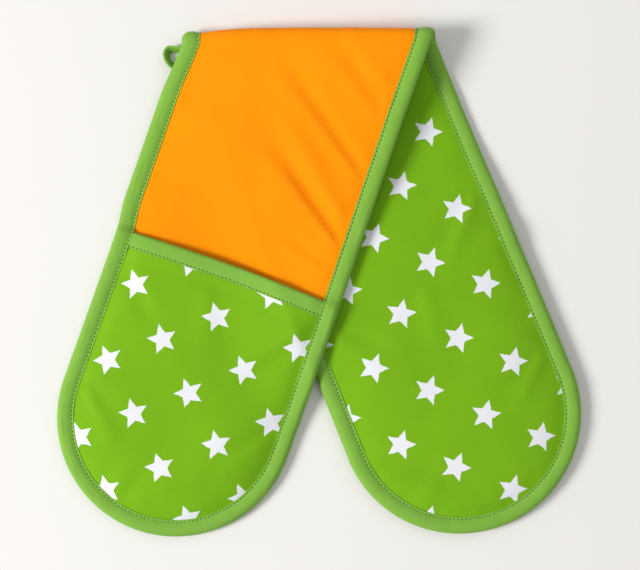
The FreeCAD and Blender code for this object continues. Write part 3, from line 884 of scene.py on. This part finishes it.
def loopPath(count=72):
    # round the eye and straight down to the pinched root, then eased
    out = next(m for m in frame["record"]["mounts"] if m["name"] == "hanging_loop")["pos_m"]
    joint = next(j for j in frame["joints"] if j["name"] == "loop_swing")["pos_m"]
    root = np.array(joint[:2])
    way = np.array(out[:2]) - root
    reach = np.linalg.norm(way)
    way = way / reach
    side = np.array([-way[1], way[0]])
    wide = math.pi - math.acos((loop["eye"] - loop["root"]) / reach)
    turns = np.linspace(-wide, wide, 40)
    path = [(reach + loop["eye"] * math.cos(t), loop["eye"] * math.sin(t)) for t in turns]
    small = np.linspace(wide, 2 * math.pi - wide, 8)
    path += [(loop["root"] * math.cos(t), loop["root"] * math.sin(t)) for t in small]
    path = np.array(path + path[:1])
    length = wayRound(path)
    at = np.linspace(0, length[-1], count + 1)[:-1]
    path = np.stack([np.interp(at, length, path[:, k]) for k in range(2)], -1)
    for _ in range(3):
        path = (np.roll(path, 1, 0) + 2 * path + np.roll(path, -1, 0)) / 4
    path[:, 1] += 0.5 * mm * np.sin(path[:, 0] / (5 * mm))
    path = path * (1 - loop["tuck"] / reach, loop["stretch"])
    path[:, 0] -= loop["sewnIn"] * smooth(1 - path[:, 0] / (6 * mm))
    return root + path[:, :1] * way + path[:, 1:] * side


def makeLoop():
    path = loopPath()
    ahead = np.roll(path, -1, 0) - np.roll(path, 1, 0)
    ahead = ahead / np.linalg.norm(ahead, axis=1)[:, None]
    outward = np.stack([ahead[:, 1], -ahead[:, 0]], -1)
    half, thick = loop["width"] / 2, loop["tape"] / 2
    middleZ = 0.3 * mm + half
    profile = []
    for k in range(20):
        turn = 2 * math.pi * k / 20
        c, s = math.cos(turn), math.sin(turn)
        flatten = lambda value, power: math.copysign(abs(value) ** power, value)
        profile.append((thick * flatten(c, 0.7), half * flatten(s, 0.35)))
    rows = []
    way = wayRound(np.concatenate([path, path[:1]]))[:-1]
    centre = path.mean(0)
    for across, high in profile:
        lean = loop["lean"] * (0.5 - high / loop["width"])
        wave = 0.12 * mm * hills(71, way / (6 * mm), np.full_like(way, high / (3 * mm)))
        edge = 0.16 * mm * (abs(high) > 0.8 * half)
        flat = path + outward * (across + wave + edge * np.sign(across))[:, None] + (centre - path) * lean
        rows.append(np.concatenate([flat, np.full((len(path), 1), middleZ + high)], -1))
    ring = np.stack(rows)
    around = np.cumsum([0] + [math.dist(profile[k], profile[k - 1]) for k in range(1, 20)])
    cloth = np.stack(np.broadcast_arrays(way[None, :], around[:, None], 0.0), -1)
    faces = gridFaces(20, len(path), closedRows=True, closedColumns=True)
    return makeMesh("loop_tape", ring, faces.tolist(), cloth.reshape(-1, 3))


loopTape = makeLoop()
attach(loopTape, "hanging_loop")
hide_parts("hanging_loop")

tackLow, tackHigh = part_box("loop_bar_tack")
tackX, tackY = (tackLow.x + tackHigh.x) / 2 - foldX, (tackLow.y + tackHigh.y) / 2 - foldY
tackA, tackB = tackX * foldCos + tackY * foldSin, tackX * foldSin - tackY * foldCos
luck = np.random.RandomState(3)
along = np.array([foldSin, -foldCos, 0])
threads = []
for i in range(loop["tackRows"]):
    off = (i / (loop["tackRows"] - 1) - 0.5) * loop["tackLength"]
    beside = tackA + off + np.array([0, 0.1 * mm])
    spot = place(lower, beside, tackB, starFace, binding["thick"] + loop["tackLift"])
    forward = along + unit(spot[1] - spot[0]) * luck.uniform(-0.12, 0.12)
    wide = loop["tackWidth"] * luck.uniform(1.0, 1.3)
    threads.append((spot[0], forward, np.array([0, 0, 1.0]), wide, 0))
tack = threadMesh("bar_tack_threads", threads)
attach(tack, "lower_half")
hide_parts("loop_bar_tack")
print("hanging loop made")


# Building blocks for the materials.
def feed(tree, socket, value):
    if isinstance(value, bpy.types.NodeSocket):
        tree.links.new(value, socket)
    else:
        socket.default_value = value


def addNode(tree, kind, inputs=(), **settings):
    # inputs: values or sockets by name, or in order
    made = tree.nodes.new(kind)
    for key, value in settings.items():
        setattr(made, key, value)
    named = inputs.items() if isinstance(inputs, dict) else enumerate(inputs)
    for key, value in named:
        feed(tree, made.inputs[key], value)
    return made


def calc(tree, operation, *values):
    return addNode(tree, "ShaderNodeMath", values, operation=operation).outputs[0]


def vectorCalc(tree, operation, *values):
    return addNode(tree, "ShaderNodeVectorMath", values, operation=operation).outputs[0]


def noise(tree, vector, scale, detail=2.0, roughness=0.5):
    inputs = {"Vector": vector, "Scale": scale, "Detail": detail, "Roughness": roughness}
    return addNode(tree, "ShaderNodeTexNoise", inputs).outputs["Fac"]


def waver(tree, vector, scale, reach):
    # a small uneven shift in every direction
    rough = addNode(tree, "ShaderNodeTexNoise", {"Vector": vector, "Scale": scale})
    shift = vectorCalc(tree, "SUBTRACT", rough.outputs["Color"], (0.5, 0.5, 0.5))
    inputs = {0: shift, "Scale": reach}
    return addNode(tree, "ShaderNodeVectorMath", inputs, operation="SCALE").outputs[0]


def turned(tree, vector, angle):
    inputs = {"Vector": vector, "Angle": angle}
    return addNode(tree, "ShaderNodeVectorRotate", inputs, rotation_type="Z_AXIS").outputs[0]


def remap(tree, value, low, high, toLow=0.0, toHigh=1.0):
    inputs = (value, low, high, toLow, toHigh)
    return addNode(tree, "ShaderNodeMapRange", inputs, interpolation_type="SMOOTHSTEP").outputs[0]


def roughen(tree, shader, height, strength, distance):
    inputs = {"Strength": strength, "Distance": distance, "Height": height}
    feed(tree, shader.inputs["Normal"], addNode(tree, "ShaderNodeBump", inputs).outputs[0])


def mixColour(tree, share, first, second):
    made = addNode(tree, "ShaderNodeMix", data_type="RGBA")
    for name, value in (("Factor_Float", share), ("A_Color", first), ("B_Color", second)):
        feed(tree, next(s for s in made.inputs if s.identifier == name), value)
    return next(s for s in made.outputs if s.identifier == "Result_Color")


def newGroup(name, inputs, outputs):
    tree = bpy.data.node_groups.new(name, "ShaderNodeTree")
    kinds = {"value": "NodeSocketFloat", "vector": "NodeSocketVector", "colour": "NodeSocketColor"}
    for label, kind, value in inputs:
        socket = tree.interface.new_socket(name=label, in_out="INPUT", socket_type=kinds[kind])
        if value is not None:
            socket.default_value = value
    for label, kind in outputs:
        tree.interface.new_socket(name=label, in_out="OUTPUT", socket_type=kinds[kind])
    return tree, addNode(tree, "NodeGroupInput"), addNode(tree, "NodeGroupOutput")


def useGroup(tree, group, **values):
    made = addNode(tree, "ShaderNodeGroup", node_tree=group)
    for key, value in values.items():
        feed(tree, made.inputs[key], value)
    return made.outputs


def weaveGroup():
    # plain weave: crossing threads, thick places in the yarn and a little fuzz
    inputs = [
        ("Cloth", "vector", None),
        ("Spacing", "value", 0.00034),
        ("Turn", "value", 0.0),
        ("Slubs", "value", 0.5),
    ]
    tree, given, result = newGroup("clothWeave", inputs, [("Height", "value"), ("Shade", "value")])
    straight = turned(tree, given.outputs["Cloth"], given.outputs["Turn"])
    wavy = vectorCalc(tree, "ADD", straight, waver(tree, straight, 900.0, 0.00009))
    parts = addNode(tree, "ShaderNodeSeparateXYZ", [wavy])
    waves = []
    for name in ("X", "Y"):
        turns = calc(tree, "DIVIDE", parts.outputs[name], given.outputs["Spacing"])
        turns = calc(tree, "MULTIPLY", turns, math.pi)
        waves.append((calc(tree, "SINE", turns), calc(tree, "COSINE", turns)))
    ridges = calc(tree, "MAXIMUM", *(calc(tree, "ABSOLUTE", wave[0]) for wave in waves))
    crossing = calc(tree, "MULTIPLY", waves[0][1], waves[1][1])
    yarns = []
    for stretch in ((0.12, 1.0, 1.0), (1.0, 0.12, 1.0)):
        long = vectorCalc(tree, "MULTIPLY", straight, stretch)
        yarns.append(remap(tree, noise(tree, long, 2600.0, 1.0), 0.55, 0.8))
    slubs = calc(tree, "MULTIPLY", calc(tree, "MAXIMUM", *yarns), given.outputs["Slubs"])
    fuzz = noise(tree, straight, 5200.0, 3.0, 0.65)
    height = calc(tree, "MULTIPLY_ADD", crossing, 0.25, ridges)
    height = calc(tree, "MULTIPLY_ADD", slubs, 0.5, height)
    height = calc(tree, "MULTIPLY_ADD", fuzz, 0.55, height)
    feed(tree, result.inputs["Height"], calc(tree, "MULTIPLY", height, 0.5))
    shade = calc(tree, "MULTIPLY_ADD", slubs, 0.25, calc(tree, "MULTIPLY", ridges, 0.5))
    feed(tree, result.inputs["Shade"], calc(tree, "MULTIPLY_ADD", fuzz, 0.3, shade))
    return tree


def dyeGroup():
    # slow and fine changes of shade, as dye takes unevenly and cloth rubs pale on its folds
    inputs = [("Cloth", "vector", None), ("Size", "value", 0.05), ("Rubbing", "value", 0.5)]
    tree, given, result = newGroup("unevenDye", inputs, [("Shade", "value"), ("Rub", "value")])
    scale = calc(tree, "DIVIDE", 1.0, given.outputs["Size"])
    slow = noise(tree, given.outputs["Cloth"], scale, 3.0, 0.55)
    fine = noise(tree, given.outputs["Cloth"], calc(tree, "MULTIPLY", scale, 22.0), 4.0, 0.7)
    shade = calc(tree, "MULTIPLY_ADD", fine, 0.45, calc(tree, "MULTIPLY", slow, 0.55))
    feed(tree, result.inputs["Shade"], shade)
    form = addNode(tree, "ShaderNodeNewGeometry")
    raised = remap(tree, form.outputs["Pointiness"], 0.5, 0.56)
    broken = remap(tree, fine, 0.35, 0.65)
    rub = calc(tree, "MULTIPLY", calc(tree, "MULTIPLY", raised, broken), given.outputs["Rubbing"])
    feed(tree, result.inputs["Rub"], rub)
    return tree


def starGroup():
    # five-pointed stars on a staggered grid, each a little turned and uneven
    inputs = [
        ("Cloth", "vector", None),
        ("Across", "value", 0.067),
        ("Along", "value", 0.062),
        ("Size", "value", 0.0118),
        ("Shift", "vector", (0, 0, 0)),
        ("Turn", "value", 0.0),
    ]
    tree, given, result = newGroup("starPrint", inputs, [("Mask", "value")])
    moved = vectorCalc(tree, "SUBTRACT", given.outputs["Cloth"], given.outputs["Shift"])
    moved = turned(tree, moved, given.outputs["Turn"])
    moved = vectorCalc(tree, "ADD", moved, waver(tree, given.outputs["Cloth"], 240.0, 0.0014))
    parts = addNode(tree, "ShaderNodeSeparateXYZ", [moved])
    sector = math.radians(72)
    notch = 0.47  # the notches' distance from the middle, as a share of the tips'
    nx, ny = notch * math.cos(sector / 2), notch * math.sin(sector / 2)
    long = math.hypot(1 - nx, ny)
    unsure = 0.0016  # metres that a star may be off its place
    masks = []
    for half in (0.0, 0.5):
        cells, local = [], []
        for axis, name in (("X", "Across"), ("Y", "Along")):
            count = calc(tree, "DIVIDE", parts.outputs[axis], given.outputs[name])
            count = calc(tree, "SUBTRACT", count, half)
            cell = calc(tree, "FLOOR", calc(tree, "ADD", count, 0.5))
            cells.append(cell)
            off = calc(tree, "SUBTRACT", count, cell)
            local.append(calc(tree, "MULTIPLY", off, given.outputs[name]))
        number = addNode(tree, "ShaderNodeCombineXYZ", [*cells, half * 9]).outputs[0]
        chance = addNode(tree, "ShaderNodeTexWhiteNoise", {"Vector": number}, noise_dimensions="3D")
        jitter = addNode(tree, "ShaderNodeSeparateColor", [chance.outputs["Color"]])
        stray = [calc(tree, "SUBTRACT", socket, 0.5) for socket in jitter.outputs]
        x = calc(tree, "MULTIPLY_ADD", stray[0], unsure, local[0])
        y = calc(tree, "MULTIPLY_ADD", stray[1], unsure, local[1])
        away = calc(tree, "SQRT", calc(tree, "MULTIPLY_ADD", x, x, calc(tree, "MULTIPLY", y, y)))
        turn = calc(tree, "ARCTAN2", x, y)
        turn = calc(tree, "MULTIPLY_ADD", stray[2], 0.22, turn)
        whole = calc(tree, "ROUND", calc(tree, "DIVIDE", turn, sector))
        turn = calc(tree, "SUBTRACT", turn, calc(tree, "MULTIPLY", whole, sector))
        turn = calc(tree, "ABSOLUTE", turn)
        px = calc(tree, "MULTIPLY", away, calc(tree, "COSINE", turn))
        py = calc(tree, "MULTIPLY", away, calc(tree, "SINE", turn))
        # the star's edge runs from a tip to the notch beside it
        edge = calc(tree, "SUBTRACT", given.outputs["Size"], px)
        edge = calc(tree, "MULTIPLY", edge, ny / long)
        inner = calc(tree, "SUBTRACT", edge, calc(tree, "MULTIPLY", py, (1 - nx) / long))
        masks.append(remap(tree, inner, -0.0001, 0.00022))
    feed(tree, result.inputs["Mask"], calc(tree, "MAXIMUM", *masks))
    return tree


weave, dye, stars = weaveGroup(), dyeGroup(), starGroup()
print("node groups made")


def colour(red, green, blue):
    return (red, green, blue, 1.0)


starCloth = {
    "dark": colour(0.125, 0.335, 0.004),
    "light": colour(0.195, 0.440, 0.007),
    "rubbed": colour(0.270, 0.500, 0.040),
    "ink": colour(0.80, 0.815, 0.86),
    "inkShade": colour(0.66, 0.68, 0.72),
    "across": 66.0 * mm,
    "along": 61.0 * mm,
    "star": 11.8 * mm,
    "backShift": (21.1 * mm, 185.8 * mm, 0),
    "backTurn": math.radians(-2.1),  # the print runs a little off the cloth's length
    "upperShift": (-3.4 * mm, 279.2 * mm, 0),
    "upperTurn": math.radians(1.3),
    "lowerShift": (14.0 * mm, 262.0 * mm, 0),
    "lowerTurn": 0.0,
    "sheen": 0.06,
    "sheenTint": colour(0.6, 0.95, 0.3),
    "roughness": 0.82,
    "specular": 0.15,
    "spacing": 0.36 * mm,
    "turn": 0.0,
    "slubs": 0.5,
    "depth": 0.09 * mm,
    "dyeSize": 0.045,
    "rubbing": 0.25,
}


def starMask(tree, cloth, shift, turn):
    sizes = {"Across": starCloth["across"], "Along": starCloth["along"], "Size": starCloth["star"]}
    return useGroup(tree, stars, Cloth=cloth, Shift=shift, Turn=turn, **sizes)["Mask"]


def clothMaterial(name, look, printed=None):
    # printed: shift and turn of the stars
    material = bpy.data.materials.new(name)
    material.use_nodes = True
    tree = material.node_tree
    shader = tree.nodes["Principled BSDF"]
    constants = {
        "Sheen Weight": look["sheen"],
        "Sheen Roughness": 0.45,
        "Sheen Tint": look["sheenTint"],
        "Specular IOR Level": look["specular"],
    }
    for socket, value in constants.items():
        shader.inputs[socket].default_value = value
    where = addNode(tree, "ShaderNodeAttribute", attribute_type="GEOMETRY", attribute_name="cloth")
    cloth = where.outputs["Vector"]
    weaving = {"Spacing": look["spacing"], "Turn": look["turn"], "Slubs": look["slubs"]}
    threads = useGroup(tree, weave, Cloth=cloth, **weaving)
    tint = useGroup(tree, dye, Cloth=cloth, Size=look["dyeSize"], Rubbing=look["rubbing"])
    slow = calc(tree, "MULTIPLY", tint["Shade"], 0.6)
    shade = remap(tree, calc(tree, "MULTIPLY_ADD", threads["Shade"], 0.55, slow), 0.2, 0.9)
    tone = mixColour(tree, shade, look["dark"], look["light"])
    tone = mixColour(tree, tint["Rub"], tone, look["rubbed"])
    smoothest, roughest = look["roughness"] - 0.05, look["roughness"] + 0.06
    rough = remap(tree, tint["Shade"], 0.25, 0.75, smoothest, roughest)
    height = threads["Height"]
    if printed:
        mask = starMask(tree, cloth, *printed)
        tone = mixColour(tree, mask, tone, mixColour(tree, shade, look["inkShade"], look["ink"]))
        rough = calc(tree, "MULTIPLY_ADD", mask, -0.1, rough)
        height = calc(tree, "MULTIPLY_ADD", mask, 0.25, height)
    feed(tree, shader.inputs["Base Color"], tone)
    feed(tree, shader.inputs["Roughness"], rough)
    roughen(tree, shader, height, 0.55, look["depth"])
    return material


orangeCotton = {
    "dark": colour(0.93, 0.235, 0.001),
    "light": colour(1.0, 0.300, 0.0015),
    "rubbed": colour(1.0, 0.40, 0.02),
    "sheen": 0.04,
    "sheenTint": colour(1.0, 0.6, 0.2),
    "roughness": 0.9,
    "specular": 0.08,
    "spacing": 0.40 * mm,
    "turn": 0.0,
    "slubs": 0.7,
    "depth": 0.10 * mm,
    "dyeSize": 0.06,
    "rubbing": 0.2,
}
bindingCotton = {
    "dark": colour(0.140, 0.335, 0.028),
    "light": colour(0.215, 0.440, 0.050),
    "rubbed": colour(0.33, 0.54, 0.14),
    "sheen": 0.08,
    "sheenTint": colour(0.8, 0.95, 0.7),
    "roughness": 0.78,
    "specular": 0.3,
    "spacing": 0.30 * mm,
    "turn": math.radians(45),
    "slubs": 0.6,
    "depth": 0.08 * mm,
    "dyeSize": 0.03,
    "rubbing": 0.45,
}
threadCotton = {
    "dark": colour(0.014, 0.055, 0.004),
    "light": colour(0.034, 0.105, 0.009),
    "rubbed": colour(0.07, 0.17, 0.02),
    "sheen": 0.05,
    "sheenTint": colour(0.6, 0.95, 0.4),
    "roughness": 0.65,
    "specular": 0.25,
    "spacing": 0.22 * mm,
    "turn": math.radians(35),
    "slubs": 0.2,
    "depth": 0.06 * mm,
    "dyeSize": 0.01,
    "rubbing": 0.3,
}
fibre = {
    "dark": colour(0.70, 0.68, 0.62),
    "light": colour(0.86, 0.85, 0.80),
    "rubbed": colour(0.90, 0.89, 0.86),
    "sheen": 0.3,
    "sheenTint": colour(1, 1, 1),
    "roughness": 0.95,
    "specular": 0.1,
    "spacing": 1.1 * mm,
    "turn": math.radians(20),
    "slubs": 1.0,
    "depth": 0.3 * mm,
    "dyeSize": 0.02,
    "rubbing": 0.1,
}


def starMaterial(name, which):
    return clothMaterial(name, starCloth, (starCloth[which + "Shift"], starCloth[which + "Turn"]))


backStars = starMaterial("starClothBack", "back")
upperStars = starMaterial("starClothUpperPocket", "upper")
lowerStars = starMaterial("starClothLowerPocket", "lower")
orange = clothMaterial("orangeCotton", orangeCotton)
tapeGreen = clothMaterial("bindingCotton", bindingCotton)
threadGreen = clothMaterial("greenThread", threadCotton)
fluffWhite = clothMaterial("waddingFibre", fibre)


def dress(piece, material):
    piece.data.materials.clear()
    piece.data.materials.append(material)


dress(starPanel, backStars)
dress(liningPanel, orange)
dress(padding, fluffWhite)
dress(edgeBinding, tapeGreen)
dress(edgeStitches, threadGreen)
dress(loopTape, tapeGreen)
dress(tack, threadGreen)
for made, printed in zip(pockets, (lowerStars, upperStars)):
    dress(made["front"], printed)
    dress(made["lining"], orange)
    dress(made["pad"], fluffWhite)
    dress(made["tape"], tapeGreen)
    dress(made["thread"], threadGreen)
print("materials made")


# The room: a pale paper floor, soft light from the left and a camera straight above.
room = {
    "floor": colour(0.80, 0.785, 0.77),
    "worldLight": 0.45,
    "keyPlace": (-2.7, -0.5, 2.1),
    "keySize": 1.3,
    "keyPower": 120.0,
    "fillPlace": (0.7, 0.9, 1.5),
    "fillSize": 1.6,
    "fillPower": 5.0,
    "lens": 85.0,
    "distance": 1.152,
    "aim": (0.0054, -0.0055),
    "roll": math.radians(-0.95),
}


def makeFloor():
    bpy.ops.mesh.primitive_grid_add(x_subdivisions=40, y_subdivisions=40, size=6.0, location=(0, 0, -0.0002))
    floor = bpy.context.object
    floor.name = "floor"
    material = bpy.data.materials.new("palePaper")
    material.use_nodes = True
    tree = material.node_tree
    shader = tree.nodes["Principled BSDF"]
    shader.inputs["Specular IOR Level"].default_value = 0.15
    where = addNode(tree, "ShaderNodeTexCoord").outputs["Object"]
    fine = noise(tree, where, 900.0, 3.0)
    slow = noise(tree, where, 3.0, 2.0)
    pale = room["floor"]
    dim = tuple(0.97 * value for value in pale[:3]) + (1.0,)
    feed(tree, shader.inputs["Base Color"], mixColour(tree, slow, dim, pale))
    feed(tree, shader.inputs["Roughness"], remap(tree, fine, 0.3, 0.7, 0.75, 0.9))
    roughen(tree, shader, fine, 0.05, 0.0002)
    floor.data.materials.append(material)


def addLight(name, spot, size, power, tint):
    data = bpy.data.lights.new(name, "AREA")
    data.shape = "DISK"
    data.size = size
    data.energy = power
    data.color = tint
    light = bpy.data.objects.new(name, data)
    light.location = spot
    light.rotation_euler = (-Vector(spot)).to_track_quat("-Z", "Y").to_euler()
    bpy.context.collection.objects.link(light)


makeFloor()
addLight("windowLight", room["keyPlace"], room["keySize"], room["keyPower"], (1.0, 0.99, 0.975))
addLight("wallLight", room["fillPlace"], room["fillSize"], room["fillPower"], (0.97, 0.98, 1.0))
world = bpy.data.worlds.new("paleRoom")
world.use_nodes = True
world.node_tree.nodes["Background"].inputs["Color"].default_value = (1.0, 0.995, 0.99, 1.0)
world.node_tree.nodes["Background"].inputs["Strength"].default_value = room["worldLight"]
bpy.context.scene.world = world
bpy.context.scene.view_settings.view_transform = "Standard"

lensData = bpy.data.cameras.new("aboveCamera")
lensData.lens = room["lens"]
lensData.sensor_width = 36.0
lensData.clip_end = 20.0
camera = bpy.data.objects.new("aboveCamera", lensData)
camera.location = (*room["aim"], room["distance"])
camera.rotation_euler = (0, 0, room["roll"])
bpy.context.collection.objects.link(camera)
bpy.context.scene.camera = camera

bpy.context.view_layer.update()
print("scene ready")
